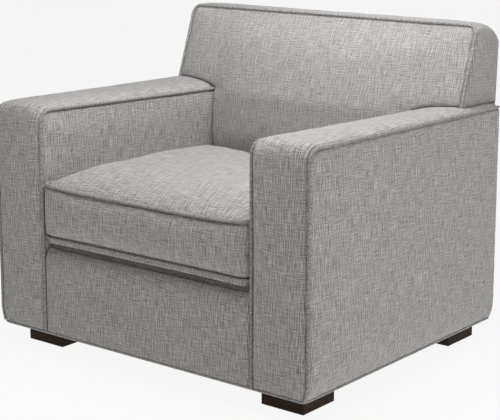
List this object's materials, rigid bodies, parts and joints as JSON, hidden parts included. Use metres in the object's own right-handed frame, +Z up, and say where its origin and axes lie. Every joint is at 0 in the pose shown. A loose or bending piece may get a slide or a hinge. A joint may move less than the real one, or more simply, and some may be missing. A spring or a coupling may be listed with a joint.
{
  "type": "upholstered armchair",
  "caption": "Square-armed upholstered armchair with a T-shaped tight back, a loose box seat cushion, piped seams and low square block feet.",
  "frame": {"origin": "on the floor, under the middle of the overall box", "axes": "+X to the right of a viewer who faces the chair, +Y from the front of the seat to the back, +Z up"},
  "size_m": [0.94, 0.8144, 0.7833],
  "materials": {
    "upholstery_fabric": "matte",
    "welt_fabric": "matte",
    "deck_fabric": "matte",
    "dust_cover_fabric": "matte",
    "foam": "matte",
    "frame_wood": "matte",
    "foot_wood": "satin",
    "spring_steel": "satin",
    "bolt_steel": "satin",
    "elastic_web": "matte",
    "zip_tape": "matte",
    "zip_metal": "satin"
  },
  "bodies": {
    "chair_frame": {"arm_band_left": "upholstery_fabric", "arm_band_right": "upholstery_fabric", "arm_front_board_left": "frame_wood", "arm_front_board_right": "frame_wood", "arm_inner_welt_left": "welt_fabric", "arm_inner_welt_right": "welt_fabric", "arm_outer_welt_left": "welt_fabric", "arm_outer_welt_right": "welt_fabric", "arm_pad_left": "foam", "arm_pad_right": "foam", "arm_top_board_left": "frame_wood", "arm_top_board_right": "frame_wood", "back_band": "upholstery_fabric", "back_pad": "foam", "back_post_left": "frame_wood", "back_post_right": "frame_wood", "back_top_rail": "frame_wood", "back_web": "elastic_web", "back_welt": "welt_fabric", "base_welt": "welt_fabric", "corner_block_front_left": "frame_wood", "corner_block_front_right": "frame_wood", "corner_block_rear_left": "frame_wood", "corner_block_rear_right": "frame_wood", "deck_cloth": "deck_fabric", "deck_pad": "foam", "dust_cover": "dust_cover_fabric", "foot_bolt_front_left": "bolt_steel", "foot_bolt_front_right": "bolt_steel", "foot_bolt_rear_left": "bolt_steel", "foot_bolt_rear_right": "bolt_steel", "foot_front_left": "foot_wood", "foot_front_right": "foot_wood", "foot_rear_left": "foot_wood", "foot_rear_right": "foot_wood", "front_rail_pad": "foam", "front_rail_panel": "upholstery_fabric", "front_seat_rail": "frame_wood", "inside_arm_panel_left": "upholstery_fabric", "inside_arm_panel_right": "upholstery_fabric", "inside_back_panel": "upholstery_fabric", "outside_arm_panel_left": "upholstery_fabric", "outside_arm_panel_right": "upholstery_fabric", "outside_back_panel": "upholstery_fabric", "rear_seat_rail": "frame_wood", "seat_spring_1": "spring_steel", "seat_spring_2": "spring_steel", "seat_spring_3": "spring_steel", "seat_spring_4": "spring_steel", "side_rail_left": "frame_wood", "side_rail_right": "frame_wood"},
    "seat_cushion": {"cushion_core": "foam", "cushion_boxing": "upholstery_fabric", "cushion_top_panel": "upholstery_fabric", "cushion_bottom_panel": "upholstery_fabric", "cushion_top_welt": "welt_fabric", "cushion_bottom_welt": "welt_fabric", "zip_tape": "zip_tape"},
    "zip_slider": {"zip_slider": "zip_metal"},
    "zip_pull": {"zip_pull": "zip_metal"}
  },
  "joints": [
    {"name": "cushion_lift", "type": "slide", "parent": "chair_frame", "child": "seat_cushion", "axis": [0, 0, 1], "range_m": [0, 0.36]},
    {"name": "zip_slide", "type": "slide", "parent": "seat_cushion", "child": "zip_slider", "axis": [1, 0, 0], "range_m": [0, 0.51]},
    {"name": "zip_pull_hinge", "type": "hinge", "parent": "zip_slider", "child": "zip_pull", "pos_m": [-0.255, 0.2002, 0.35], "axis": [1, 0, 0], "range_deg": [0, 90]}
  ]
}
